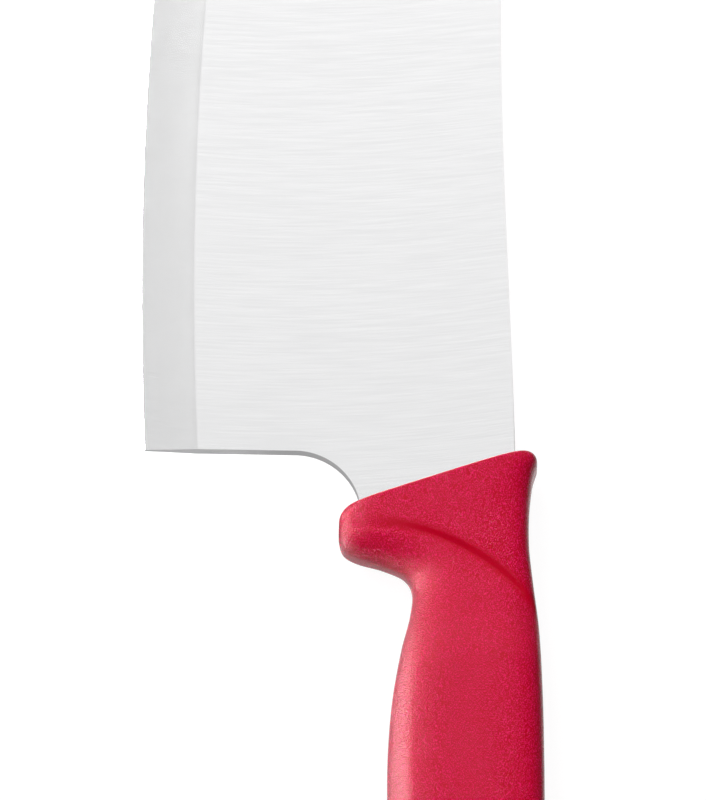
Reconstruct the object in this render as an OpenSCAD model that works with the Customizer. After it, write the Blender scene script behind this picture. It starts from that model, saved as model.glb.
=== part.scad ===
// Butcher's cleaver: a ground steel blade with its tang in one piece, and a plastic handle that is
// moulded round the tang and through its holes. The cleaver lies on its side: +Y runs to the tip,
// -X to the cutting edge and +Z up through the thickness. The surface that it lies on is z = 0.
// Outlines are drawn from a datum where the blade's axis, x = 0, crosses the line of the heel, y = 0.

/* [Blade] */
// Heel to tip
blade_length = 180; // [150:5:220]
// Thickness of the steel
blade_t = 4.4; // [3:0.1:5]
// Axis to the fullest point of the cutting edge
edge_reach = 51; // [44:0.1:56]
// Heel to the fullest point of the cutting edge
belly_y = 40; // [20:1:60]
// Radius of the cutting edge's long curve
edge_r = 930; // [700:10:1500]
// Axis to the straight part of the spine
spine_reach = 35.4; // [33:0.1:37]
// How far the spine flares out on its way to the handle
spine_flare = 3.4; // [1:0.1:4]
// Heel to where the flare begins
flare_start = 105; // [80:1:130]
// Length of the flare, most of it in front of the handle
flare_length = 125; // [110:1:150]
// Corner at the tip, spine side
tip_spine_r = 10; // [3:0.5:20]
// Corner at the tip, edge side
tip_edge_r = 5; // [2:0.5:8]
// Radius of the choil, the curve from the heel to the handle
choil_r = 16; // [14:0.5:18]
// Axis to where the choil leaves the heel
choil_reach = 14; // [12:0.5:16]
// How far the heel falls away on its way from the edge to the choil
heel_drop = 0.6; // [0:0.1:1]

/* [Grind] */
// Width of the hollow bevel
bevel_w = 13; // [8:0.5:18]
// Steel left at the foot of the hollow bevel
bevel_foot_t = 1.3; // [0.6:0.1:1.6]
// Hollow of the bevel, at its deepest below the straight line
bevel_hollow = 0.12; // [0.02:0.01:0.2]
// Width of the fine bevel that makes the edge
edge_w = 0.6; // [0.4:0.1:1.2]
// Land left at the very edge
edge_land = 0.15; // [0.05:0.05:0.25]

/* [Tang] */
// How far each face of the tang lies in from the blade's
tang_inset = 0.3; // [0.1:0.1:0.6]
// Width of the tang
tang_w = 18; // [14:0.5:20]
// Step in from the spine to the tang's back
tang_shoulder = 1.7; // [1:0.1:4]
// Heel back to the end of the tang
tang_back = 118; // [80:1:122]
// How far the tang's root widens on the edge side
tang_root = 4; // [1:0.5:5]
// Corners at the tang's end
tang_end_r = 6; // [2:0.5:7]
// Holes that the plastic runs through
tang_hole_d = 7; // [4:0.5:10]
// How many holes
tang_holes = 3; // [2:1:4]

/* [Handle] */
// Heel back to the end of the butt
handle_back = 140; // [128:1:150]
// Heel back to the handle's front, on the axis
front_drop = 14.6; // [13:0.1:15.5]
// Slant of the handle's front
front_angle = 17.35; // [16:0.05:20]
// Axis to the tip of the guard
guard_reach = 3.35; // [2:0.05:6]
// Width from the tip of the guard to the handle's back
handle_w = 48.8; // [47:0.1:53]
// Thickness at the palm
palm_t = 25; // [22:0.5:28]
// Corner at the front, on the guard
guard_corner_r = 2.7; // [2:0.1:4]
// Corner at the front, on the back
back_corner_r = 4.2; // [2:0.1:5]
// Rounding of the edges round the front
front_edge_r = 0.6; // [0.5:0.1:1.5]
// Rounding of the butt
butt_r = 9; // [6:0.5:10]

/* [Wedge] */
// Thickness of the wedge, as its faces would have it where the axis meets the line of the heel
wedge_t = 20.2; // [19:0.1:21]
// Slope of its faces, thicker to the handle's back
wedge_rise = 0.03; // [0:0.01:0.05]
// Slope of its faces, thicker to the handle's front
wedge_lean = 0.055; // [0:0.005:0.07]
// Heel back to where the grip has swollen to its full thickness
swell_back = 54; // [50:1:70]

/* [Crease] */
// Radius of the curved crease behind the wedge
crease_r = 51.75; // [51:0.25:53]
// Axis to the middle of the crease's curve
crease_reach = 1.85; // [0:0.05:4]
// Heel back to the middle of the crease's curve
crease_back = 71.1; // [70:0.1:73]
// Step down from the wedge to the neck
crease_step = 0.85; // [0:0.05:1.2]
// Width of the step's slope
crease_w = 2; // [1.4:0.1:3]
// Ridge behind the crease on the guard, where the step has faded out
ridge_lift = 0.35; // [0:0.05:0.6]

/* [Scoop] */
// Depth of the finger's scoop
scoop_depth = 2.5; // [1:0.1:3]
// Radius of the scoop across the handle
scoop_w = 9; // [7:0.5:11]
// Radius of the scoop along the handle
scoop_r = 6.5; // [5:0.5:8]
// Axis to the middle of the scoop
scoop_reach = 5.5; // [4:0.5:9]
// Heel back to the middle of the scoop
scoop_back = 31; // [29:0.5:33]

/* [Hidden] */

steel = [0.86, 0.86, 0.87];
red_plastic = [0.78, 0.07, 0.16];

// Cuts and hidden overlaps run this far past what they meet
overrun = 5;
// Fineness of the true curves, and of the curves that are worked out point by point
fine = 256;
arc_steps = 24;
flare_steps = 24;
hollow_steps = 6;

// The tip's edge corner stands this much short of its full radius in from the edge, to cross it cleanly
tip_corner_share = 0.94;

// Stations along the handle, front to butt: the distance behind the front as a share of the
// handle's run, the edge side and the back as shares of its width from the guard's tip, how much
// of the front's slant is left, the thickness as a share of the palm's, and how full the
// section's edge side and back are, where 2 is an ellipse and more is squarer.
station_shares = [
    [0,      0.002, 0.982, 1,    1,     5,   5],
    [0.024,  0,     0.970, 1,    1,     4.9, 5],
    [0.052,  0,     0.946, 1,    1,     4.6, 5],
    [0.080,  0.022, 0.935, 1,    1,     4.2, 5],
    [0.104,  0.089, 0.929, 1,    1,     3.8, 5],
    [0.131,  0.201, 0.926, 1,    1,     3.4, 5],
    [0.1635, 0.311, 0.925, 1,    1,     3.1, 5],
    [0.199,  0.355, 0.929, 1,    1,     3,   5],
    [0.241,  0.345, 0.947, 0.80, 1,     3.1, 5],
    [0.294,  0.303, 0.974, 0.50, 1,     3.3, 5],
    [0.378,  0.260, 0.991, 0.15, 1,     3.5, 5],
    [0.481,  0.237, 0.998, 0,    1,     3.5, 5],
    [0.589,  0.235, 1,     0,    1,     3.5, 5],
    [0.692,  0.249, 0.997, 0,    0.970, 3.4, 4.8],
    [0.796,  0.280, 0.990, 0,    0.930, 3.3, 4.4],
    [0.883,  0.280, 0.985, 0,    0.912, 3.1, 3.8],
    [0.947,  0.245, 0.974, 0,    0.910, 2.7, 3.1],
    [1,      0.252, 0.950, 0,    0.890, 2.3, 2.4]
];
// Shares of the handle's width from the guard's tip, between which the crease's step fades in, and
// between which it fades out again
crease_fade_shares = [0.10, 0.65, 0.88, 1];
// What is left of the step past the second fade
crease_right_share = 0.4;
// Shares of the handle's width between which the grip's swell fades in
swell_shares = [0.12, 0.36];

// Sections of the handle: how many stand in the front's rounding, the guard, the grip and the butt
front_sections = 8;
guard_sections = 30;
grip_sections = 24;
butt_sections = 7;
// The guard's closer sections reach this share of the handle's run
guard_share = 0.27;
// Points in a quarter of a section, and how many of them stand on its side
quarter_count = 16;
side_count = 4;

tang_t = blade_t - 2 * tang_inset;
tang_high_x = spine_reach + spine_flare - tang_shoulder;
tang_low_x = tang_high_x - tang_w;

handle_run = handle_back - front_drop;
front_slope = tan(front_angle);
edge_centre_x = edge_r - edge_reach;
edge_half_angle = asin((blade_length - belly_y + overrun) / edge_r) + 1;

// The origin stands under the middle of the cleaver's box
shift_x = (edge_reach - (handle_w - guard_reach)) / 2;
shift_y = (handle_back - blade_length) / 2;
shift_z = palm_t / 2;

function clamp(v, low, high) = min(max(v, low), high);
function ease(t) = let (c = clamp(t, 0, 1)) c * c * (3 - 2 * c);
function arc(x, y, r, from, to) =
    [for (i = [0:arc_steps]) let (a = from + (to - from) * i / arc_steps) [x + r * cos(a), y + r * sin(a)]];

// Places on the blade and on the handle's front plane
function spine_x(y) = spine_reach + spine_flare * ease((flare_start - y) / flare_length);
function edge_x(y) = edge_centre_x - sqrt(edge_r * edge_r - (y - belly_y) * (y - belly_y));
function front_y(x) = front_slope * x - front_drop;

// Everything on the blade's side of the handle's front plane
module in_front() {
    reach = blade_length + handle_back;
    translate([0, -front_drop]) rotate(front_angle) translate([-reach, 0]) square([2 * reach, reach]);
}

module blade_outline() {
    far_x = -edge_reach - overrun;
    tip_y = blade_length - tip_edge_r;
    root_y = flare_start - flare_length;
    outline = concat(
        [[far_x, 0], [edge_x(0), 0]],
        arc(-choil_reach, -heel_drop - choil_r, choil_r, 90, 0),
        [[choil_r - choil_reach, root_y - choil_r]],
        [for (i = [0:flare_steps]) let (y = root_y + flare_length * i / flare_steps) [spine_x(y), y]],
        arc(spine_reach - tip_spine_r, blade_length - tip_spine_r, tip_spine_r, 0, 90),
        arc(edge_x(tip_y) + tip_corner_share * tip_edge_r, tip_y, tip_edge_r, 90, 180),
        [[far_x, tip_y]]
    );
    intersection() {
        polygon(outline);
        in_front();
    }
}

// Half of the ground section, from the edge inwards: the fine bevel, the hollow bevel and the flat
function ground_side() =
    let (
        foot = bevel_foot_t / 2,
        flat = blade_t / 2,
        run = bevel_w - edge_w
    )
    concat(
        [[edge_r, edge_land / 2]],
        [for (i = [0:hollow_steps])
            let (s = i / hollow_steps)
            [edge_r - edge_w - run * s, foot + (flat - foot) * s - 4 * bevel_hollow * s * (1 - s)]]
    );

// The ground section turned about the centre of the edge's curve
module ground_plate() {
    inner_r = edge_centre_x - spine_reach - spine_flare - overrun;
    side = concat(ground_side(), [[inner_r, blade_t / 2]]);
    last = len(side) - 1;
    translate([edge_centre_x, belly_y, 0])
        rotate([0, 0, 180 - edge_half_angle])
            rotate_extrude(angle = 2 * edge_half_angle, $fn = fine)
                polygon(concat(side, [for (i = [0:last]) [side[last - i][0], -side[last - i][1]]]));
}

module tang_outline() {
    root_x = tang_low_x - tang_root;
    end_y = tang_end_r - tang_back;
    outline = concat(
        [[root_x, front_y(root_x) + overrun]],
        [[root_x, front_y(root_x)]],
        [[tang_low_x, front_y(tang_low_x) - 2 * tang_root]],
        arc(tang_low_x + tang_end_r, end_y, tang_end_r, 180, 270),
        arc(tang_high_x - tang_end_r, end_y, tang_end_r, 270, 360),
        [[tang_high_x, front_y(tang_high_x) + overrun]]
    );
    polygon(outline);
}

// The holes stand evenly between the tang's root and its end
module tang_holes_outline() {
    middle_x = (tang_low_x + tang_high_x) / 2;
    root_y = front_y(middle_x);
    gap = (tang_back + root_y) / (tang_holes + 1);
    for (i = [1:tang_holes])
        translate([middle_x, root_y - gap * i]) circle(d = tang_hole_d, $fn = fine);
}

module tang() {
    translate([0, 0, -tang_t / 2])
        linear_extrude(height = tang_t)
            difference() {
                tang_outline();
                tang_holes_outline();
            }
}

module blade() {
    color(steel)
        translate([shift_x, shift_y, shift_z])
            union() {
                intersection() {
                    translate([0, 0, -blade_t]) linear_extrude(height = 2 * blade_t) blade_outline();
                    ground_plate();
                }
                tang();
            }
}

// The station table at distance q behind the front, read as smooth curves through its rows
function row_before(q) =
    max([for (i = [0:len(station_shares) - 2]) if (i == 0 || station_shares[i][0] * handle_run <= q) i]);
function row_slope(i, k) =
    let (
        low = max(i - 1, 0),
        high = min(i + 1, len(station_shares) - 1)
    )
    (station_shares[high][k] - station_shares[low][k]) / (station_shares[high][0] - station_shares[low][0]);
function station(q) =
    let (
        i = row_before(q),
        a = station_shares[i],
        b = station_shares[i + 1],
        gap = b[0] - a[0],
        t = (q / handle_run - a[0]) / gap,
        t2 = t * t,
        t3 = t2 * t
    )
    [for (k = [0:6])
        a[k] * (2 * t3 - 3 * t2 + 1) + b[k] * (3 * t2 - 2 * t3)
        + gap * (row_slope(i, k) * (t3 - 2 * t2 + t) + row_slope(i + 1, k) * (t3 - t2))];

// How far a rounding of radius r has drawn a surface in, at depth q behind the face that it rounds
function rounding(q, r) = q >= r ? 0 : r - sqrt(r * r - (r - q) * (r - q));

// How deep the wedge, the crease and the neck lie below the palm at a place
function step_strength(share) =
    let (fade = crease_fade_shares)
    ease((share - fade[0]) / (fade[1] - fade[0]))
    * (1 - (1 - crease_right_share) * ease((share - fade[2]) / (fade[3] - fade[2])));
function ridge_strength(share) =
    1 - ease((share - crease_fade_shares[0]) / (crease_fade_shares[1] - crease_fade_shares[0]));
function crease_y(x) = sqrt(max(pow(crease_r, 2) - pow(x - crease_reach, 2), 0)) - crease_back;
function swell(x, y) =
    let (share = (x + guard_reach) / handle_w)
    ease((share - swell_shares[0]) / (swell_shares[1] - swell_shares[0]))
    * ease((crease_y(x) - y) / (crease_y(x) + swell_back));
function sunk(x, y) =
    let (
        share = (x + guard_reach) / handle_w,
        inside = crease_r - norm([x - crease_reach, y + crease_back]),
        step = crease_step * step_strength(share) * ease(inside / crease_w + 1 / 2),
        ridge = ridge_lift * ridge_strength(share) * ease(inside / crease_w - 1 / 2),
        wedge = (palm_t - wedge_t) / 2 - wedge_rise * x - wedge_lean * y
    )
    (wedge + step - ridge) * (1 - swell(x, y));

// How deep the finger's scoop is at a place
function scoop(x, y) =
    let (far = norm([(x - scoop_reach) / scoop_w, (y + scoop_back) / scoop_r]))
    scoop_depth * exp(-far * far);

// Turn of a section's point, spaced for even steps along its side and its top
function quarter_turn(i) =
    i < side_count
        ? atan(i / side_count)
        : 90 - atan(1 - (i - side_count) / (quarter_count - side_count));
function point_turn(i) =
    let (
        quarter = floor(i / quarter_count),
        step = i % quarter_count
    )
    quarter % 2 == 0
        ? 90 * quarter + quarter_turn(step)
        : 90 * (quarter + 1) - quarter_turn(quarter_count - step);

// One section of the handle, its points going round from the back over the top to the edge side
function section(q) =
    let (
        row = station(q),
        end = handle_run - q,
        low = handle_w * row[1] - guard_reach + rounding(q, guard_corner_r) + rounding(end, butt_r),
        high = handle_w * row[2] - guard_reach - rounding(q, back_corner_r) - rounding(end, butt_r),
        full_t = palm_t * min(row[4], 1),
        half_t = full_t / 2 - rounding(q, front_edge_r) - rounding(end, butt_r)
    )
    [for (i = [0:4 * quarter_count - 1])
        let (
            turn = point_turn(i),
            full = cos(turn) < 0 ? row[5] : row[6],
            reach = pow(pow(abs(cos(turn)), full) + pow(abs(sin(turn)), full), -1 / full),
            x = (low + high) / 2 + (high - low) / 2 * reach * cos(turn),
            y = -front_drop - q + front_slope * row[3] * x,
            carved = 1 - (sunk(x, y) + scoop(x, y)) * 2 / full_t
        )
        [x, y, half_t * reach * sin(turn) * carved]];

function section_places() =
    let (
        guard_end = guard_share * handle_run,
        grip_end = handle_run - butt_r
    )
    concat(
        [for (i = [0:front_sections - 1]) guard_corner_r * (1 - cos(90 * i / front_sections))],
        [for (i = [0:guard_sections - 1])
            guard_corner_r + (guard_end - guard_corner_r) * i / guard_sections],
        [for (i = [0:grip_sections - 1]) guard_end + (grip_end - guard_end) * i / grip_sections],
        [for (i = [0:butt_sections]) grip_end + butt_r * sin(90 * i / butt_sections)]
    );

module handle_body() {
    places = section_places();
    around = 4 * quarter_count;
    points = [for (q = places) each section(q)];
    last = len(places) - 1;
    walls = [for (s = [0:last - 1]) for (i = [0:around - 1])
        let (
            next = (i + 1) % around,
            a = s * around + i,
            b = s * around + next,
            c = a + around,
            d = b + around
        )
        each (i < around / 4 || (i >= around / 2 && i < around * 3 / 4)
            ? [[a, c, b], [b, c, d]]
            : [[a, c, d], [a, d, b]])];
    polyhedron(points = points, faces = concat(
        walls,
        [[for (i = [0:around - 1]) i]],
        [[for (i = [0:around - 1]) last * around + around - 1 - i]]
    ));
}

module handle() {
    color(red_plastic)
        translate([shift_x, shift_y, shift_z])
            difference() {
                handle_body();
                tang();
            }
}

blade();
handle();
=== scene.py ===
"""The look of a butcher's cleaver: ground, brushed steel in a moulded handle of grained red plastic.

Sizes are millimetres from a datum where the blade's axis, x = 0, crosses the line of the heel, y = 0,
in the middle of the steel's thickness, z = 0. They turn into the frame's metres when a mesh is made.
The studio's sizes are metres in the frame.
"""

import math

import bpy
import numpy as np
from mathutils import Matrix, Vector
from mathutils.geometry import delaunay_2d_cdt


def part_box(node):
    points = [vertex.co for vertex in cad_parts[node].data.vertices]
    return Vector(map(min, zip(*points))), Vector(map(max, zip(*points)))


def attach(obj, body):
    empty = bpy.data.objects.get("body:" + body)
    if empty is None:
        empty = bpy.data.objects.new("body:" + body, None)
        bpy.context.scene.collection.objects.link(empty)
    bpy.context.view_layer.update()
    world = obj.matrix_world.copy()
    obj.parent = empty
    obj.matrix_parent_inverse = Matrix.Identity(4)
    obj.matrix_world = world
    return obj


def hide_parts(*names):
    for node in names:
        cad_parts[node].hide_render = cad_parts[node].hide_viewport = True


MM = 0.001

# Blade
BLADE_LENGTH = 180
BLADE_T = 4.4
EDGE_REACH = 51
BELLY_Y = 40
EDGE_R = 930
SPINE_REACH = 35.4
SPINE_FLARE = 3.4
FLARE_START = 105
FLARE_LENGTH = 125
TIP_SPINE_R = 10
TIP_EDGE_R = 5
# The tip's edge corner stands this much short of its full radius in from the edge
TIP_CORNER_SHARE = 0.94
CHOIL_R = 16
CHOIL_REACH = 14
# How far the heel falls away from the edge to the choil
HEEL_DROP = 0.6
# How far the edges of the spine and the tip are broken, and the share of the local half thickness
# that this may take
BROKEN_EDGE_R = 0.2
BROKEN_EDGE_SHARE = 0.6

# Grind
BEVEL_W = 13
BEVEL_FOOT_T = 1.3
BEVEL_HOLLOW = 0.12
EDGE_W = 0.6
EDGE_LAND = 0.15
# How softly the hollow bevel runs out into the flat
SHOULDER_BLEND = 0.14

# Tang
TANG_INSET = 0.3
TANG_W = 18
TANG_SHOULDER = 1.7
TANG_BACK = 118
TANG_ROOT = 4
TANG_END_R = 6
TANG_HOLE_D = 7
TANG_HOLES = 3
# How far the tang's own bar reaches into the blade
TANG_OVERLAP = 5

# Handle
HANDLE_BACK = 140
FRONT_DROP = 14.6
FRONT_ANGLE = math.radians(17.35)
GUARD_REACH = 3.35
HANDLE_W = 48.8
PALM_T = 25
GUARD_CORNER_R = 2.7
BACK_CORNER_R = 4.2
FRONT_EDGE_R = 0.6
BUTT_R = 9

# Wedge, the crease behind it and the finger's scoop
WEDGE_T = 20.2
WEDGE_RISE = 0.03
WEDGE_LEAN = 0.055
CREASE_R = 51.75
CREASE_REACH = 1.85
CREASE_BACK = 71.1
CREASE_STEP = 0.85
CREASE_W = 2
# Heel back to where the grip has swollen to its full thickness
SWELL_BACK = 54
# Ridge behind the crease on the guard, where the step has faded out
RIDGE_LIFT = 0.35
# Where the ridge turns into the step and where the step fades out, as shares of the handle's width
CREASE_FADE_SHARES = (0.10, 0.65, 0.88, 1.0)
# What is left of the step past the second fade
CREASE_RIGHT_SHARE = 0.4
# Where the swell begins and is whole, as shares of the handle's width
SWELL_SHARES = (0.12, 0.36)
SCOOP_DEPTH = 2.5
SCOOP_W = 9
SCOOP_R = 6.5
SCOOP_REACH = 5.5
SCOOP_BACK = 31

# Stations along the handle, front to butt: the distance behind the front as a share of the handle's
# run, the edge side and the back as shares of its width from the guard's tip, how much of the
# front's slant is left, the thickness as a share of the palm's, and how full the section's edge
# side and back are, where 2 is an ellipse and more is squarer.
STATION_SHARES = np.array(
    [
        [0, 0.002, 0.982, 1, 1, 5, 5],
        [0.024, 0, 0.970, 1, 1, 4.9, 5],
        [0.052, 0, 0.946, 1, 1, 4.6, 5],
        [0.080, 0.022, 0.935, 1, 1, 4.2, 5],
        [0.104, 0.089, 0.929, 1, 1, 3.8, 5],
        [0.131, 0.201, 0.926, 1, 1, 3.4, 5],
        [0.1635, 0.311, 0.925, 1, 1, 3.1, 5],
        [0.199, 0.355, 0.929, 1, 1, 3, 5],
        [0.241, 0.345, 0.947, 0.80, 1, 3.1, 5],
        [0.294, 0.303, 0.974, 0.50, 1, 3.3, 5],
        [0.378, 0.260, 0.991, 0.15, 1, 3.5, 5],
        [0.481, 0.237, 0.998, 0, 1, 3.5, 5],
        [0.589, 0.235, 1, 0, 1, 3.5, 5],
        [0.692, 0.249, 0.997, 0, 0.970, 3.4, 4.8],
        [0.796, 0.280, 0.990, 0, 0.930, 3.3, 4.4],
        [0.883, 0.280, 0.985, 0, 0.912, 3.1, 3.8],
        [0.947, 0.245, 0.974, 0, 0.910, 2.7, 3.1],
        [1, 0.252, 0.950, 0, 0.890, 2.3, 2.4],
    ]
)

# How finely the blade is followed
OUTLINE_STEP = 2.5
CORNER_STEPS = 20
CHOIL_STEPS = 60
HOLE_STEPS = 48
BEVEL_STEPS = 119
# Lines inside the outline, this far in, that carry the broken edges
RING_DEPTHS = (0.02, 0.06, 0.12, 0.2, 0.24)
# Lines along the fine bevel and the hollow bevel, as shares of their widths, the second close together
# where the hollow runs out into the flat
FINE_LINE_SHARES = (0.5, 1)
BEVEL_LINE_SHARES = (0.04, 0.12, 0.25, 0.4, 0.55, 0.7, 0.82, 0.9, 0.94, 0.97, 1, 1.02, 1.05, 1.09, 1.14)
# The plate's walls have a row of points this share of the way up, which keeps their shading flat
WALL_ROW_SHARE = 0.95
# Points of the plan that are closer than this are one point
PLAN_TOLERANCE = 0.00001
# Halvings in the search for a crossing
HALVINGS = 60

# How finely the handle is followed
FRONT_SECTIONS = 14
GUARD_SECTIONS = 84
GRIP_SECTIONS = 80
BUTT_SECTIONS = 14
# The guard's closer sections reach this share of the handle's run
GUARD_SHARE = 0.32
QUARTER_COUNT = 64
SIDE_COUNT = 12
# Each end of the handle has a copy of its last section at this share of its size, which keeps the
# shading of the end flat
CAP_SHARE = 0.97

# Faces that meet at more than these angles, in degrees, have a sharp edge between them
BLADE_SHARP_ANGLE = 27
HANDLE_SHARP_ANGLE = 40
# Points of a mesh that are closer than this, in metres, are welded into one
WELD_GAP = 1e-6

# Steel: fine and broad hair lines, each with its spacing, its length and its detail
FINE_HAIR = (0.4, 14, 3)
BROAD_HAIR = (1.6, 40, 2)
FINE_HAIR_SHARE = 0.85
HAIR_ROUGHNESS = 0.6
HAIR_DEPTH = 0.02
HAIR_STRENGTH = 0.25
# The part of the noise over which tone and gloss go from their first value to their last
HAIR_RANGE = (0.3, 0.7)
STEEL_TONES = ((0.86, 0.86, 0.865), (0.90, 0.90, 0.905))
STEEL_ROUGHNESS = (0.14, 0.165)
STEEL_ANISOTROPY = 0.3
# The gloss is drawn out across the brushing's map, a quarter of a turn from its first axis
QUARTER_TURN = 0.25
# The hair lines run in shallow arcs: where their middle lies, and how much they bow
BRUSH_CENTRE_X = -15
BRUSH_BOW = 0.00145
# How far the brushing's map leans with height along X and Y
BRUSH_MAP_LEAN = (0.37, 0.61)

# Plastic: the grain's size, its stretch along X, Y and Z, its noise and its depth
GRAIN = 0.33
GRAIN_STRETCH = (1.4, 0.9, 1.2)
GRAIN_DETAIL = 0.5
GRAIN_ROUGHNESS = 0.5
GRAIN_DEPTH = 0.18
# The part of the noise over which the tone goes from deep to light
GRAIN_RANGE = (0.42, 0.74)
RED_TONES = ((0.53, 0.0, 0.016), (0.84, 0.01, 0.121))
PLASTIC_ROUGHNESS = 0.22
PLASTIC_IOR = 1.5
PLASTIC_GLOSS = 0.086
PLASTIC_GLOSS_TINT = (0.85, 0.95, 1, 1)
# The band along the crease, polished free of grain and darkened to the deep red as painted shade: its
# half width, how much of the grain and of the lighter tone it takes away, and where it fades in, as
# shares of the handle's width
POLISH_AND_SHADE_W = 2.4
POLISH_AND_SHADE_SHARE = 0.9
POLISH_AND_SHADE_FADE_SHARES = (0.1, 0.3)

# Room and floor: how strongly the room lights matte surfaces from the handle's side and from the
# tip's, and how near to straight along those two ways the levels are reached
WHITE = (1, 1, 1, 1)
ROOM_LEVELS = (0.135, 0.045)
ROOM_SPAN = 0.9
FLOOR_SIZE = 8
FLOOR_GLOW = 0.94
FLOOR_SHADE = 0.14
FLOOR_PAPER = 0.45

# Lamps, level cards over the cleaver: reach along X, reach along Y, height and level
KEY_LIGHT = ((-1.9, -0.3), (0.92, 2.52), 2.1, 8.0)
TOP_LIGHT = ((-0.9, 0.3), (-0.7, 0.5), 2.2, 5.2)

# A fade is an axis, the reach along it, and the two levels between which it goes over that reach.
# The ceiling shows in the gloss: darker over the butt, a little dimmer where the bevel mirrors it,
# and with a bright window past the tip that is brightest on the left.
CEILING = ((-1.6, 0.75), (-0.9, 2.6), 2.0)
CEILING_FADE = ("Y", -0.5, 1.0, 0.3, 1.06)
BEVEL_FADE = ("Y", 0.5, 0.75, 0.78, 0.66)
BEVEL_SPAN = (-0.42, -0.2)
WINDOW_FADE = ("Y", 1.12, 1.45, 0, 31)
WINDOW_SIDE_FADE = ("X", -1.1, -0.25, 1, 0.25)

# Sheets that lie on the table and show in the gloss: reach along X, reach along Y and height
LEFT_SHEET = ((-0.5, -0.02), (-0.3, 0.0), 0.001)
LEFT_SHEET_FADE = ("X", -0.30, -0.02, 42, 22)
RIGHT_SHEET = ((0.06, 0.22), (-0.4, 0.01), 0.001)
RIGHT_SHEET_LEVEL = 0.15
HEEL_SHEET = ((-0.07, 0.004), (-0.042, -0.015), 0.002)
HEEL_SHEET_LEVEL = 0.35

# Cards that stand round the cleaver and show in the gloss: the two ends of the foot, the two ends of
# the top, and the heights of both
LEFT_STRIP = (((-0.5, -0.12), (-0.5, 0.26)), ((-0.5, -0.12), (-0.5, 0.26)), (0.0, 0.8))
LEFT_STRIP_FADE = ("Z", 0.2, 0.75, 36, 7)
RIGHT_FLAG = (((0.22, -0.6), (0.22, 0.03)), ((0.33, -0.6), (0.33, 0.2)), (0.0, 0.9))
RIGHT_FLAG_FADE = ("Z", 0.11, 0.2, 0.45, 0.05)
FAR_LEFT_FLAG = (((-0.52, 0.3), (-0.52, 1.2)), ((-0.52, 0.3), (-0.52, 1.2)), (0.08, 0.8))
NEAR_LEFT_FLAG = (((-0.52, -0.6), (-0.52, -0.22)), ((-0.52, -0.6), (-0.52, -0.22)), (0.08, 0.8))
LEFT_FLAG_FADE = ("Z", 0.25, 0.42, 0.42, 0.72)
NEAR_FLAG = (((-0.5, -0.6), (0.4, -0.6)), ((-0.5, -0.54), (0.4, -0.54)), (0.0, 1.2))
NEAR_FLAG_FADE = ("Z", 0.26, 0.44, 0.5, 0.06)

# The photograph's framing, in millimetres: how much height it takes in, where its middle lies and
# how steeply it looks down
VIEW_HEIGHT = 190.476
VIEW_MIDDLE_Y = 12.45
VIEW_ELEVATION = math.radians(75)
CAMERA_DISTANCE = 6000
# Width of the camera's sensor
SENSOR = 36

TANG_T = BLADE_T - 2 * TANG_INSET
TANG_HIGH_X = SPINE_REACH + SPINE_FLARE - TANG_SHOULDER
TANG_LOW_X = TANG_HIGH_X - TANG_W
HANDLE_RUN = HANDLE_BACK - FRONT_DROP
FRONT_SLOPE = math.tan(FRONT_ANGLE)
EDGE_CENTRE_X = EDGE_R - EDGE_REACH


def ease(t):
    """A smooth step from 0 to 1."""
    c = np.clip(t, 0, 1)
    return c * c * (3 - 2 * c)


def arc(x, y, r, start, end, steps=CORNER_STEPS):
    """Points along an arc, with its angles in degrees."""
    turns = np.radians(np.linspace(start, end, steps + 1))
    return np.column_stack([x + r * np.cos(turns), y + r * np.sin(turns)])


def crossing(value, low, high):
    """Where value changes sign between low and high."""
    for _ in range(HALVINGS):
        middle = (low + high) / 2
        if (value(middle) > 0) == (value(low) > 0):
            low = middle
        else:
            high = middle
    return (low + high) / 2


def steps_between(low, high):
    """Even steps from low to high, each no longer than the outline's step."""
    return np.linspace(low, high, max(2, math.ceil(abs(high - low) / OUTLINE_STEP) + 1))


def rounding(q, r):
    """How far a rounding of radius r has drawn a surface in, at depth q behind the face it rounds."""
    inside = np.clip(r - q, 0, r)
    return r - np.sqrt(r * r - inside * inside)


def spine_x(y):
    """Where the spine lies."""
    return SPINE_REACH + SPINE_FLARE * ease((FLARE_START - y) / FLARE_LENGTH)


def edge_x(y):
    """Where the cutting edge lies."""
    return EDGE_CENTRE_X - np.sqrt(EDGE_R**2 - (y - BELLY_Y) ** 2)


def front_y(x):
    """Where the handle's front lies."""
    return FRONT_SLOPE * x - FRONT_DROP


def heel_and_choil():
    """The blade's outline from the heel's corner round the choil to the handle's front."""
    heel_x = steps_between(edge_x(0), -CHOIL_REACH)[:-1]
    heel_share = (heel_x - heel_x[0]) / (-CHOIL_REACH - heel_x[0])
    heel = np.column_stack([heel_x, -HEEL_DROP * heel_share])
    choil_y = -HEEL_DROP - CHOIL_R
    front_above = (front_y(-CHOIL_REACH) - choil_y) * math.cos(FRONT_ANGLE)
    choil_end = math.degrees(FRONT_ANGLE + math.asin(front_above / CHOIL_R))
    choil = arc(-CHOIL_REACH, choil_y, CHOIL_R, 90, choil_end, CHOIL_STEPS)
    return np.vstack([heel, choil])


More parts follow.
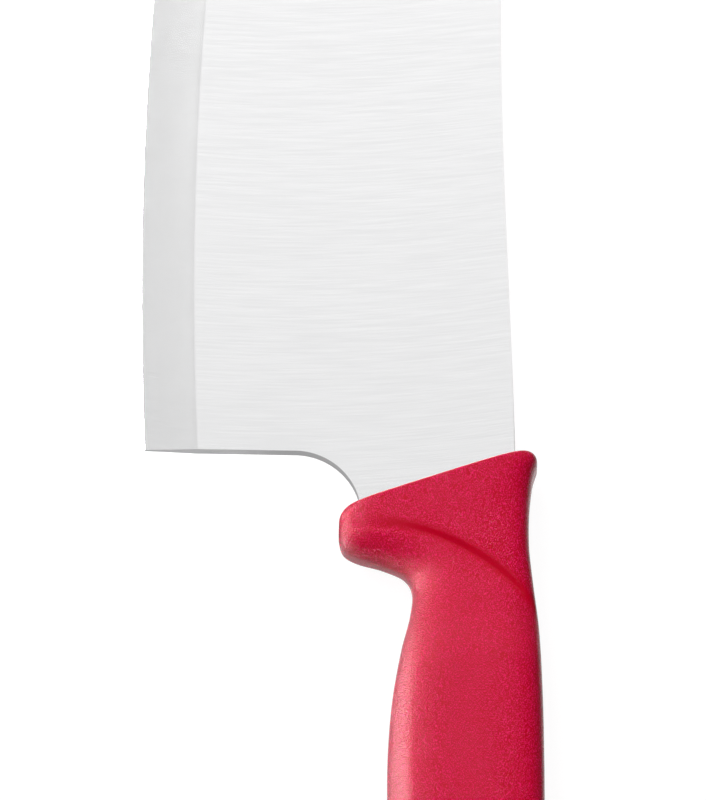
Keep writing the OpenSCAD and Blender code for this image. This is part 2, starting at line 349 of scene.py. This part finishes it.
def spine_and_tip():
    """The blade's outline from the handle's front up the spine and round the tip to the edge."""
    root_y = crossing(lambda y: front_y(spine_x(y)) - y, -FRONT_DROP, FRONT_DROP)
    spine_y = steps_between(root_y, BLADE_LENGTH - TIP_SPINE_R)[:-1]
    spine = np.column_stack([spine_x(spine_y), spine_y])
    spine_corner = arc(SPINE_REACH - TIP_SPINE_R, BLADE_LENGTH - TIP_SPINE_R, TIP_SPINE_R, 0, 90)
    corner_y = BLADE_LENGTH - TIP_EDGE_R
    corner_x = edge_x(corner_y) + TIP_CORNER_SHARE * TIP_EDGE_R

    def past_edge(turn):
        x = corner_x + TIP_EDGE_R * math.cos(math.radians(turn))
        return x - edge_x(corner_y + TIP_EDGE_R * math.sin(math.radians(turn)))

    tip_x = steps_between(SPINE_REACH - TIP_SPINE_R, corner_x)[1:-1]
    tip = np.column_stack([tip_x, np.full(len(tip_x), BLADE_LENGTH)])
    edge_corner = arc(corner_x, corner_y, TIP_EDGE_R, 90, crossing(past_edge, 90, 180))
    return np.vstack([spine, spine_corner, tip, edge_corner])


def pushed_in(line, depth):
    """The line moved to its left by depth, and drawn out a little at both ends."""
    along = np.gradient(line, axis=0)
    along /= np.linalg.norm(along, axis=1)[:, None]
    moved = line + depth * np.column_stack([-along[:, 1], along[:, 0]])
    return np.vstack([moved[0] - along[0], moved, moved[-1] + along[-1]])


def distance_to(line, points):
    """How far each point lies from the line."""
    nearest = np.full(len(points), np.inf)
    for a, b in zip(line[:-1], line[1:]):
        run = b - a
        share = np.clip(((points - a) @ run) / (run @ run), 0, 1)
        away = points - a - share[:, None] * run
        nearest = np.minimum(nearest, np.linalg.norm(away, axis=1))
    return nearest


def ground_half(w):
    """Half of the steel's thickness at distance w in from the cutting edge."""
    foot = BEVEL_FOOT_T / 2
    flat = BLADE_T / 2
    share = (w - EDGE_W) / (BEVEL_W - EDGE_W)
    hollow = foot + (flat - foot) * share - 4 * BEVEL_HOLLOW * share * (1 - share)
    apart = np.clip(1 - np.abs(hollow - flat) / SHOULDER_BLEND, 0, 1)
    ground = np.minimum(hollow, flat) - SHOULDER_BLEND * apart * apart / 4
    fine = EDGE_LAND / 2 + (foot - EDGE_LAND / 2) * w / EDGE_W
    far = share > 1 + SHOULDER_BLEND
    return np.where(w < EDGE_W, fine, np.where(far, flat, ground))


def bevel_lines():
    """Lines along the fine bevel and the hollow bevel, from past the tip to past the heel."""
    turn = math.asin(BLADE_LENGTH / EDGE_R)
    turns = np.linspace(math.pi - turn, math.pi + turn / 2, BEVEL_STEPS + 1)
    fine = EDGE_W * np.array(FINE_LINE_SHARES)
    hollow = EDGE_W + (BEVEL_W - EDGE_W) * np.array(BEVEL_LINE_SHARES)
    radii = EDGE_R - np.concatenate([fine, hollow])
    return [
        np.column_stack([EDGE_CENTRE_X + r * np.cos(turns), BELLY_Y + r * np.sin(turns)])
        for r in radii
    ]


def plate_plan(before_front, after_front):
    """The blade's plan cut into triangles along its outline, its broken edges and its bevel."""
    edge_y = steps_between(after_front[-1][1], 0)[1:-1]
    edge = np.column_stack([edge_x(edge_y), edge_y])
    outline = np.vstack([before_front, after_front, edge])
    rings = [pushed_in(line, depth) for depth in RING_DEPTHS for line in (before_front, after_front)]
    count = len(outline)
    points = [outline]
    links = [(i, (i + 1) % count) for i in range(count)]
    for line in rings + bevel_lines():
        points.append(line)
        links += [(count + i, count + i + 1) for i in range(len(line) - 1)]
        count += len(line)
    flat_points = [Vector(p) for p in np.vstack(points)]
    inside_only = 1
    made = delaunay_2d_cdt(flat_points, links, [], inside_only, PLAN_TOLERANCE)
    plan = np.array([[p.x, p.y] for p in made[0]])
    return plan, [tuple(face) for face in made[2]]


def plate_faces(plan, top_z, tops):
    """Points and faces of the plate: the plan's top, the same below, and a wall between them."""
    sides = dict.fromkeys(side for face in tops for side in zip(face, face[1:] + face[:1]))
    rim = [(a, b) for a, b in sides if (b, a) not in sides]
    rim_points = sorted({a for a, _ in rim})
    count = len(plan)
    upper = {a: 2 * count + i for i, a in enumerate(rim_points)}
    lower = {a: place + len(rim_points) for a, place in upper.items()}
    row_z = WALL_ROW_SHARE * top_z[rim_points]
    points = np.vstack(
        [
            np.column_stack([plan, top_z]),
            np.column_stack([plan, -top_z]),
            np.column_stack([plan[rim_points], row_z]),
            np.column_stack([plan[rim_points], -row_z]),
        ]
    )
    faces = list(tops) + [tuple(count + a for a in reversed(face)) for face in tops]
    for a, b in rim:
        rows = [(a, b), (upper[a], upper[b]), (lower[a], lower[b]), (count + a, count + b)]
        faces += [(up[1], up[0], down[0], down[1]) for up, down in zip(rows[:-1], rows[1:])]
    return points, faces


def linked_object(name, data):
    """A new object in the scene."""
    made = bpy.data.objects.new(name, data)
    bpy.context.scene.collection.objects.link(made)
    return made


def mesh_object(name, points, faces, datum):
    """A new object from points in millimetres from the datum."""
    mesh = bpy.data.meshes.new(name)
    mesh.from_pydata((points * MM + np.array(datum)).tolist(), [], faces)
    mesh.validate()
    return linked_object(name, mesh)


def evaluated_mesh(obj):
    """The mesh that an object has once its modifiers, or its curve's settings, are worked out."""
    bpy.context.view_layer.update()
    seen = obj.evaluated_get(bpy.context.evaluated_depsgraph_get())
    return bpy.data.meshes.new_from_object(seen)


def applied(obj):
    """Turns an object's modifiers into its mesh."""
    mesh = evaluated_mesh(obj)
    obj.modifiers.clear()
    obj.data = mesh


def weld(obj):
    """Makes one point of those that lie together."""
    modifier = obj.modifiers.new("weld", "WELD")
    modifier.merge_threshold = WELD_GAP
    applied(obj)


def combined(obj, tool, operation):
    """Adds the tool's solid to the object or takes it away, exactly."""
    modifier = obj.modifiers.new(operation.lower(), "BOOLEAN")
    modifier.operation = operation
    modifier.solver = "EXACT"
    modifier.object = tool
    applied(obj)
    bpy.data.objects.remove(tool)


def tang_loops():
    """The tang's outline and its holes, evenly between its root and its end."""
    root_x = TANG_LOW_X - TANG_ROOT
    end_y = TANG_END_R - TANG_BACK
    outline = np.vstack(
        [
            [root_x, front_y(root_x) + TANG_OVERLAP],
            [root_x, front_y(root_x)],
            [TANG_LOW_X, front_y(TANG_LOW_X) - 2 * TANG_ROOT],
            arc(TANG_LOW_X + TANG_END_R, end_y, TANG_END_R, 180, 270),
            arc(TANG_HIGH_X - TANG_END_R, end_y, TANG_END_R, 270, 360),
            [TANG_HIGH_X, front_y(TANG_HIGH_X) + TANG_OVERLAP],
        ]
    )
    middle_x = (TANG_LOW_X + TANG_HIGH_X) / 2
    root_y = front_y(middle_x)
    gap = (TANG_BACK + root_y) / (TANG_HOLES + 1)
    loops = [outline]
    for i in range(TANG_HOLES):
        loops.append(arc(middle_x, root_y - gap * (i + 1), TANG_HOLE_D / 2, 0, 360, HOLE_STEPS)[:-1])
    return loops


def tang_shell(datum):
    """The tang on its own: a flat bar with round holes, rooted a little way into the blade."""
    curve = bpy.data.curves.new("tang", "CURVE")
    curve.dimensions = "2D"
    curve.fill_mode = "BOTH"
    curve.extrude = TANG_T / 2 * MM
    for loop in tang_loops():
        spline = curve.splines.new("POLY")
        spline.points.add(len(loop) - 1)
        spline.use_cyclic_u = True
        for point, (x, y) in zip(spline.points, loop):
            point.co = (x * MM, y * MM, 0, 1)
    drawn = linked_object("tang", curve)
    drawn.location = datum
    mesh = evaluated_mesh(drawn)
    mesh.transform(drawn.matrix_world)
    bpy.data.objects.remove(drawn)
    welded = linked_object("tang_shell", mesh)
    weld(welded)
    return welded


def shade(obj, sharp_angle):
    """Smooth shading, with an edge where two faces meet at more than sharp_angle degrees."""
    obj.data.shade_smooth()
    obj.data.set_sharp_from_angle(angle=math.radians(sharp_angle))


def brush_map(obj, datum):
    """A map laid flat over the blade, leaning a little with height so that the walls have one too."""
    mesh = obj.data
    points = np.zeros(len(mesh.vertices) * 3)
    mesh.vertices.foreach_get("co", points)
    points = points.reshape(-1, 3) - np.array(datum)
    corners = np.zeros(len(mesh.loops), int)
    mesh.loops.foreach_get("vertex_index", corners)
    lean = points[:, 2:] * np.array(BRUSH_MAP_LEAN)
    places = (points[:, :2] + lean)[corners] / (BLADE_LENGTH * MM)
    layer = mesh.uv_layers.new(name="brushing")
    layer.uv.foreach_set("vector", places.astype(np.float32).ravel())


def ground_blade(datum):
    """The steel: the ground plate, broken at its spine and tip, and the tang inside the handle."""
    before_front = heel_and_choil()
    after_front = spine_and_tip()
    plan, tops = plate_plan(before_front, after_front)
    w = EDGE_R - np.hypot(plan[:, 0] - EDGE_CENTRE_X, plan[:, 1] - BELLY_Y)
    half = ground_half(np.clip(w, 0, None))
    broken_r = np.minimum(BROKEN_EDGE_R, BROKEN_EDGE_SHARE * half)
    top_z = half - rounding(distance_to(after_front, plan), broken_r)
    points, faces = plate_faces(plan, top_z, tops)
    blade = mesh_object("ground_blade", points, faces, datum)
    combined(blade, tang_shell(datum), "UNION")
    shade(blade, BLADE_SHARP_ANGLE)
    brush_map(blade, datum)
    return blade


def stations(q):
    """The station table at distances q behind the front, read as smooth curves through its rows."""
    table = STATION_SHARES
    slopes = np.empty_like(table)
    slopes[1:-1] = (table[2:] - table[:-2]) / (table[2:, :1] - table[:-2, :1])
    slopes[0] = (table[1] - table[0]) / (table[1, 0] - table[0, 0])
    slopes[-1] = (table[-1] - table[-2]) / (table[-1, 0] - table[-2, 0])
    share = q / HANDLE_RUN
    i = np.clip(np.searchsorted(table[:, 0], share, side="right") - 1, 0, len(table) - 2)
    gap = (table[i + 1, 0] - table[i, 0])[:, None]
    t = (share - table[i, 0])[:, None] / gap
    return (
        table[i] * (2 * t**3 - 3 * t**2 + 1)
        + table[i + 1] * (3 * t**2 - 2 * t**3)
        + gap * (slopes[i] * (t**3 - 2 * t**2 + t) + slopes[i + 1] * (t**3 - t**2))
    )


def sunk(x, y):
    """How deep the wedge, the crease and the neck lie below the palm."""
    share = (x + GUARD_REACH) / HANDLE_W
    fade = CREASE_FADE_SHARES
    strength = ease((share - fade[0]) / (fade[1] - fade[0]))
    right = 1 - (1 - CREASE_RIGHT_SHARE) * ease((share - fade[2]) / (fade[3] - fade[2]))
    inside = CREASE_R - np.hypot(x - CREASE_REACH, y + CREASE_BACK)
    step = CREASE_STEP * strength * right * ease(inside / CREASE_W + 0.5)
    ridge = RIDGE_LIFT * (1 - strength) * ease(inside / CREASE_W - 0.5)
    swell = ease((share - SWELL_SHARES[0]) / (SWELL_SHARES[1] - SWELL_SHARES[0]))
    crease_y = np.sqrt(np.maximum(CREASE_R**2 - (x - CREASE_REACH) ** 2, 0)) - CREASE_BACK
    rise = swell * ease((crease_y - y) / (crease_y + SWELL_BACK))
    wedge = (PALM_T - WEDGE_T) / 2 - WEDGE_RISE * x - WEDGE_LEAN * y
    return (wedge + step - ridge) * (1 - rise)


def scoop(x, y):
    """How deep the finger's scoop is."""
    far = np.hypot((x - SCOOP_REACH) / SCOOP_W, (y + SCOOP_BACK) / SCOOP_R)
    return SCOOP_DEPTH * np.exp(-far * far)


def section_turns():
    """Turns round a section in radians, spaced for even steps along its sides and its top."""
    side = np.arctan(np.arange(SIDE_COUNT) / SIDE_COUNT)
    top_count = QUARTER_COUNT - SIDE_COUNT
    top = np.pi / 2 - np.arctan(1 - np.arange(top_count) / top_count)
    quarter = np.concatenate([side, top])
    back = np.pi - np.concatenate([[np.pi / 2], quarter[:0:-1]])
    half = np.concatenate([quarter, back])
    return np.concatenate([half, half + np.pi])


def section_places():
    """Distances behind the front at which the handle's sections stand."""
    guard_end = GUARD_SHARE * HANDLE_RUN
    grip_end = HANDLE_RUN - BUTT_R
    front = GUARD_CORNER_R * (1 - np.cos(np.linspace(0, np.pi / 2, FRONT_SECTIONS + 1)[:-1]))
    guard = np.linspace(GUARD_CORNER_R, guard_end, GUARD_SECTIONS + 1)[:-1]
    grip = np.linspace(guard_end, grip_end, GRIP_SECTIONS + 1)[:-1]
    butt = grip_end + BUTT_R * np.sin(np.linspace(0, np.pi / 2, BUTT_SECTIONS + 1))
    return np.concatenate([front, guard, grip, butt])


def handle_sections():
    """The handle's sections from front to butt, each going round from the back over the top."""
    q = section_places()
    turn = section_turns()
    row = stations(q)
    end = HANDLE_RUN - q
    low = HANDLE_W * row[:, 1] - GUARD_REACH + rounding(q, GUARD_CORNER_R) + rounding(end, BUTT_R)
    high = HANDLE_W * row[:, 2] - GUARD_REACH - rounding(q, BACK_CORNER_R) - rounding(end, BUTT_R)
    full_t = PALM_T * np.minimum(row[:, 4], 1)
    half_t = full_t / 2 - rounding(q, FRONT_EDGE_R) - rounding(end, BUTT_R)
    across = np.cos(turn)[None, :]
    up = np.sin(turn)[None, :]
    full = np.where(across < 0, row[:, 5:6], row[:, 6:7])
    reach = (np.abs(across) ** full + np.abs(up) ** full) ** (-1 / full)
    x = ((low + high) / 2)[:, None] + ((high - low) / 2)[:, None] * reach * across
    y = -FRONT_DROP - q[:, None] + FRONT_SLOPE * row[:, 3:4] * x
    carved = 1 - (sunk(x, y) + scoop(x, y)) * 2 / full_t[:, None]
    z = half_t[:, None] * reach * up * carved
    return np.stack([x, y, z], axis=-1)


def drawn_in(section):
    """A smaller copy of a section, about its own middle."""
    middle = section.mean(axis=0)
    return middle + CAP_SHARE * (section - middle)


def loft_faces(count, around):
    """Faces between a count of sections of so many points around, and one over each end."""
    faces = []
    for s in range(count - 1):
        for i in range(around):
            a = s * around + i
            b = s * around + (i + 1) % around
            faces.append((a, a + around, b + around, b))
    faces.append(tuple(range(around)))
    faces.append(tuple(reversed(range((count - 1) * around, count * around))))
    return faces


def moulded_handle(datum):
    """The plastic: a loft through its sections, less the tang's pocket."""
    sections = handle_sections()
    rows = np.stack([drawn_in(sections[0]), *sections, drawn_in(sections[-1])])
    faces = loft_faces(rows.shape[0], rows.shape[1])
    handle = mesh_object("moulded_handle", rows.reshape(-1, 3), faces, datum)
    combined(handle, tang_shell(datum), "DIFFERENCE")
    shade(handle, HANDLE_SHARP_ANGLE)
    return handle


class Nodes:
    """The nodes of a material or a world, each added and linked in one call."""

    def __init__(self, owner):
        owner.use_nodes = True
        self.tree = owner.node_tree
        self.tree.nodes.clear()

    def feed(self, slot, value):
        """Links another node's output to an input, or sets the input itself."""
        if isinstance(value, bpy.types.NodeSocket):
            self.tree.links.new(value, slot)
        else:
            slot.default_value = value

    def add(self, kind, settings=None, fed=(), **named):
        """A new node with its settings, its first inputs fed in order, and others fed by name."""
        node = self.tree.nodes.new(kind)
        for name, value in (settings or {}).items():
            setattr(node, name, value)
        for slot, value in zip(node.inputs, fed):
            self.feed(slot, value)
        for name, value in named.items():
            self.feed(node.inputs[name.replace("_", " ")], value)
        return node

    def math(self, operation, *values):
        """One step of reckoning with numbers."""
        return self.add("ShaderNodeMath", {"operation": operation}, values).outputs[0]

    def place(self):
        """The place on the object, in metres."""
        return self.add("ShaderNodeTexCoord").outputs["Object"]

    def axes(self, place):
        """A place split into X, Y and Z."""
        return self.add("ShaderNodeSeparateXYZ", Vector=place).outputs

    def ramp(self, value, low, high, to_low, to_high):
        """The value's reach from low to high turned smoothly into to_low to to_high."""
        node = self.add(
            "ShaderNodeMapRange",
            {"interpolation_type": "SMOOTHSTEP"},
            Value=value,
            From_Min=low,
            From_Max=high,
            To_Min=to_low,
            To_Max=to_high,
        )
        return node.outputs["Result"]

    def fade(self, axes, fade):
        """The level that a fade has at a place, from the place's axes."""
        axis, *reach_and_levels = fade
        return self.ramp(axes[axis], *reach_and_levels)

    def blend(self, share, colours):
        """A colour on the way from the first of two colours to the second."""
        node = self.add("ShaderNodeMix", {"data_type": "RGBA"}, Factor=share)
        slots = {slot.identifier: slot for slot in node.inputs}
        slots["A_Color"].default_value = (*colours[0], 1)
        slots["B_Color"].default_value = (*colours[1], 1)
        return {slot.identifier: slot for slot in node.outputs}["Result_Color"]

    def emit(self, level):
        """A white glow."""
        return self.add("ShaderNodeEmission", Color=WHITE, Strength=level).outputs[0]

    def finish(self, shader, kind="ShaderNodeOutputMaterial"):
        """Makes the shader the surface's, or the world's."""
        self.add(kind, Surface=shader)


def hair(n, axes, across, spacing, length, detail):
    """Noise drawn out along X into lines of that length and spacing."""
    stretched = n.add(
        "ShaderNodeCombineXYZ",
        X=n.math("DIVIDE", axes["X"], length * MM),
        Y=n.math("DIVIDE", across, spacing * MM),
        Z=n.math("DIVIDE", axes["Z"], spacing * MM),
    )
    noise = n.add(
        "ShaderNodeTexNoise",
        Vector=stretched.outputs[0],
        Scale=1.0,
        Detail=detail,
        Roughness=HAIR_ROUGHNESS,
    )
    return noise.outputs["Fac"]


def steel(datum):
    """Finely brushed steel: satin, with hair lines in shallow arcs across the blade."""
    material = bpy.data.materials.new("blade_steel")
    n = Nodes(material)
    axes = n.axes(n.place())
    off_centre = n.math("SUBTRACT", axes["X"], datum[0] + BRUSH_CENTRE_X * MM)
    bow = n.math("MULTIPLY", n.math("MULTIPLY", off_centre, off_centre), BRUSH_BOW / MM)
    across = n.math("SUBTRACT", axes["Y"], bow)
    fine = hair(n, axes, across, *FINE_HAIR)
    broad = hair(n, axes, across, *BROAD_HAIR)
    fine_part = n.math("MULTIPLY", fine, FINE_HAIR_SHARE)
    broad_part = n.math("MULTIPLY", broad, 1 - FINE_HAIR_SHARE)
    both = n.math("ADD", fine_part, broad_part)
    bump = n.add("ShaderNodeBump", Height=fine, Strength=HAIR_STRENGTH, Distance=HAIR_DEPTH * MM)
    tangent = n.add("ShaderNodeTangent", {"direction_type": "UV_MAP", "uv_map": "brushing"})
    shader = n.add(
        "ShaderNodeBsdfPrincipled",
        Base_Color=n.blend(n.ramp(both, *HAIR_RANGE, 0, 1), STEEL_TONES),
        Roughness=n.ramp(both, *HAIR_RANGE, *STEEL_ROUGHNESS),
        Metallic=1.0,
        Normal=bump.outputs["Normal"],
        Tangent=tangent.outputs["Tangent"],
        Anisotropic=STEEL_ANISOTROPY,
        Anisotropic_Rotation=QUARTER_TURN,
    )
    n.finish(shader.outputs[0])
    return material


def crease_polish_and_painted_shade(n, place, datum):
    """1 along the crease, where the mould is polished free of grain and the tone is darkened as painted
    shade, and 0 away from it.
    """
    centre = (datum[0] + CREASE_REACH * MM, datum[1] - CREASE_BACK * MM, 0)
    away = n.add("ShaderNodeVectorMath", {"operation": "SUBTRACT"}, (place, centre))
    level = n.add("ShaderNodeVectorMath", {"operation": "MULTIPLY"}, (away.outputs[0], (1, 1, 0)))
    far = n.add("ShaderNodeVectorMath", {"operation": "LENGTH"}, (level.outputs[0],))
    off = n.math("ABSOLUTE", n.math("SUBTRACT", far.outputs["Value"], CREASE_R * MM))
    band = n.ramp(off, 0, POLISH_AND_SHADE_W * MM, POLISH_AND_SHADE_SHARE, 0)
    fades_at = [datum[0] + (share * HANDLE_W - GUARD_REACH) * MM for share in POLISH_AND_SHADE_FADE_SHARES]
    return n.math("MULTIPLY", band, n.ramp(n.axes(place)["X"], *fades_at, 0, 1))


def plastic(datum):
    """Matte red plastic with the fine pebbled grain of its mould, and painted shade along the crease.
    """
    material = bpy.data.materials.new("handle_plastic")
    n = Nodes(material)
    place = n.place()
    stretched = n.add("ShaderNodeMapping", Vector=place, Scale=GRAIN_STRETCH)
    noise = n.add(
        "ShaderNodeTexNoise",
        Vector=stretched.outputs[0],
        Scale=1 / (GRAIN * MM),
        Detail=GRAIN_DETAIL,
        Roughness=GRAIN_ROUGHNESS,
    )
    height = noise.outputs["Fac"]
    # Along the crease the grain's bump and its lighter tone are taken away: the deep red left there is
    # painted shade
    grained = n.math("SUBTRACT", 1, crease_polish_and_painted_shade(n, place, datum))
    tone = n.math("MULTIPLY", n.ramp(height, *GRAIN_RANGE, 0, 1), grained)
    bump = n.add("ShaderNodeBump", Height=height, Strength=grained, Distance=GRAIN_DEPTH * MM)
    shader = n.add(
        "ShaderNodeBsdfPrincipled",
        Base_Color=n.blend(tone, RED_TONES),
        Roughness=PLASTIC_ROUGHNESS,
        Normal=bump.outputs["Normal"],
        IOR=PLASTIC_IOR,
        Specular_IOR_Level=PLASTIC_GLOSS,
        Specular_Tint=PLASTIC_GLOSS_TINT,
    )
    n.finish(shader.outputs[0])
    return material


def dressed(piece, material, node):
    """Puts a piece in its node's place, with its material, on the one rigid body."""
    piece.data.materials.clear()
    piece.data.materials.append(material)
    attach(piece, "root")
    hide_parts(node)


def seen_as_background(n):
    """1 for camera, glossy and transmission rays, 0 for the rest."""
    path = n.add("ShaderNodeLightPath")
    glossy = n.math("MAXIMUM", path.outputs["Is Camera Ray"], path.outputs["Is Glossy Ray"])
    return n.math("MAXIMUM", glossy, path.outputs["Is Transmission Ray"])


def room():
    """The white surroundings, and the soft level at which they light matte surfaces."""
    world = bpy.data.worlds.new("studio")
    bpy.context.scene.world = world
    n = Nodes(world)
    seen = seen_as_background(n)
    white = n.add("ShaderNodeBackground", Color=WHITE, Strength=1.0)
    way = n.axes(n.add("ShaderNodeTexCoord").outputs["Generated"])
    level = n.ramp(way["Y"], -ROOM_SPAN, ROOM_SPAN, *ROOM_LEVELS)
    soft = n.add("ShaderNodeBackground", Color=WHITE, Strength=level)
    mix = n.add("ShaderNodeMixShader", fed=(seen, soft.outputs[0], white.outputs[0]))
    n.finish(mix.outputs[0], "ShaderNodeOutputWorld")


def level_corners(x, y, z):
    """Corners of a card that lies level, from its reach along X and Y."""
    return [(x[0], y[0], z), (x[1], y[0], z), (x[1], y[1], z), (x[0], y[1], z)]


def standing_corners(foot, top, heights):
    """Corners of a card that stands, from the ends of its foot and of its top."""
    low, high = heights
    return [(*foot[0], low), (*foot[1], low), (*top[1], high), (*top[0], high)]


def staged(name, corners):
    """A flat piece of the studio, and the nodes of its material."""
    mesh = bpy.data.meshes.new(name)
    mesh.from_pydata(corners, [], [tuple(range(len(corners)))])
    made = linked_object(name, mesh)
    material = bpy.data.materials.new(name)
    mesh.materials.append(material)
    return made, Nodes(material)


def floor():
    """A white sweep that keeps a faint shadow."""
    half = FLOOR_SIZE / 2
    _, n = staged("floor", level_corners((-half, half), (-half, half), 0))
    seen = seen_as_background(n)
    faint = n.add("ShaderNodeBsdfDiffuse", Color=(FLOOR_SHADE, FLOOR_SHADE, FLOOR_SHADE, 1))
    bright = n.add("ShaderNodeAddShader", fed=(n.emit(FLOOR_GLOW), faint.outputs[0]))
    paper = n.add("ShaderNodeBsdfDiffuse", Color=(FLOOR_PAPER, FLOOR_PAPER, FLOOR_PAPER, 1))
    mix = n.add("ShaderNodeMixShader", fed=(seen, paper.outputs[0], bright.outputs[0]))
    n.finish(mix.outputs[0])


def card(name, corners, lights):
    """A studio card that the camera doesn't see, which either lights matte surfaces or shines in
    glossy ones, and the nodes of its material."""
    made, n = staged(name, corners)
    made.visible_camera = False
    made.visible_diffuse = lights
    made.visible_glossy = not lights
    made.visible_shadow = lights
    return n


def lamp(name, x, y, z, level):
    """A level card that lights matte surfaces."""
    n = card(name, level_corners(x, y, z), lights=True)
    n.finish(n.emit(level))


def plain_card(name, corners, level):
    """A card that shines alike all over."""
    n = card(name, corners, lights=False)
    n.finish(n.emit(level))


def fading_card(name, corners, fade):
    """A card whose shine fades along one axis."""
    n = card(name, corners, lights=False)
    n.finish(n.emit(n.fade(n.axes(n.place()), fade)))


def ceiling():
    """What shows in the gloss from above: the ceiling with its dim part and its window."""
    n = card("overhead_shine", level_corners(*CEILING), lights=False)
    axes = n.axes(n.place())
    dim = n.ramp(axes["X"], *BEVEL_SPAN, n.fade(axes, BEVEL_FADE), 1)
    plain = n.math("MULTIPLY", dim, n.fade(axes, CEILING_FADE))
    window = n.math("MULTIPLY", n.fade(axes, WINDOW_SIDE_FADE), n.fade(axes, WINDOW_FADE))
    n.finish(n.emit(n.math("ADD", plain, window)))


def light_cards():
    """Two lamps, and the cards that give the gloss its bright left rims and its dark right side."""
    lamp("key_light", *KEY_LIGHT)
    lamp("top_light", *TOP_LIGHT)
    ceiling()
    fading_card("left_strip", standing_corners(*LEFT_STRIP), LEFT_STRIP_FADE)
    fading_card("left_sheet", level_corners(*LEFT_SHEET), LEFT_SHEET_FADE)
    fading_card("right_flag", standing_corners(*RIGHT_FLAG), RIGHT_FLAG_FADE)
    plain_card("right_sheet", level_corners(*RIGHT_SHEET), RIGHT_SHEET_LEVEL)
    plain_card("heel_sheet", level_corners(*HEEL_SHEET), HEEL_SHEET_LEVEL)
    fading_card("far_left_flag", standing_corners(*FAR_LEFT_FLAG), LEFT_FLAG_FADE)
    fading_card("near_left_flag", standing_corners(*NEAR_LEFT_FLAG), LEFT_FLAG_FADE)
    fading_card("near_flag", standing_corners(*NEAR_FLAG), NEAR_FLAG_FADE)


def camera(datum):
    """The photograph's view: from the handle's side of straight above, along the blade."""
    data = bpy.data.cameras.new("camera")
    data.sensor_width = SENSOR
    data.lens = SENSOR * CAMERA_DISTANCE / VIEW_HEIGHT
    made = linked_object("camera", data)
    back = Vector((0, -math.cos(VIEW_ELEVATION), math.sin(VIEW_ELEVATION)))
    aim = Vector(datum) + Vector((0, VIEW_MIDDLE_Y * MM, 0))
    made.location = aim + back * CAMERA_DISTANCE * MM
    made.rotation_mode = "QUATERNION"
    made.rotation_quaternion = (-back).to_track_quat("-Z", "Y")
    bpy.context.scene.camera = made


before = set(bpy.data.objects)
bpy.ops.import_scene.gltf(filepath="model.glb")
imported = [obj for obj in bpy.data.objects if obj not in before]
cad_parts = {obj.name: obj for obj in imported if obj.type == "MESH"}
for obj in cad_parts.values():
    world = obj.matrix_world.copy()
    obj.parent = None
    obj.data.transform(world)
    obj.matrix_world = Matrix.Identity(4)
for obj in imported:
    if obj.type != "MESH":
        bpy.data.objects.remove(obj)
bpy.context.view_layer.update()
blade_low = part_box("blade")[0]
handle_low, handle_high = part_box("handle")
datum = (
    blade_low.x + EDGE_REACH * MM,
    handle_low.y + HANDLE_BACK * MM,
    (handle_low.z + handle_high.z) / 2,
)

bpy.context.scene.view_settings.view_transform = "Standard"
camera(datum)
room()
floor()
light_cards()
dressed(ground_blade(datum), steel(datum), "blade")
dressed(moulded_handle(datum), plastic(datum), "handle")

bpy.context.view_layer.update()
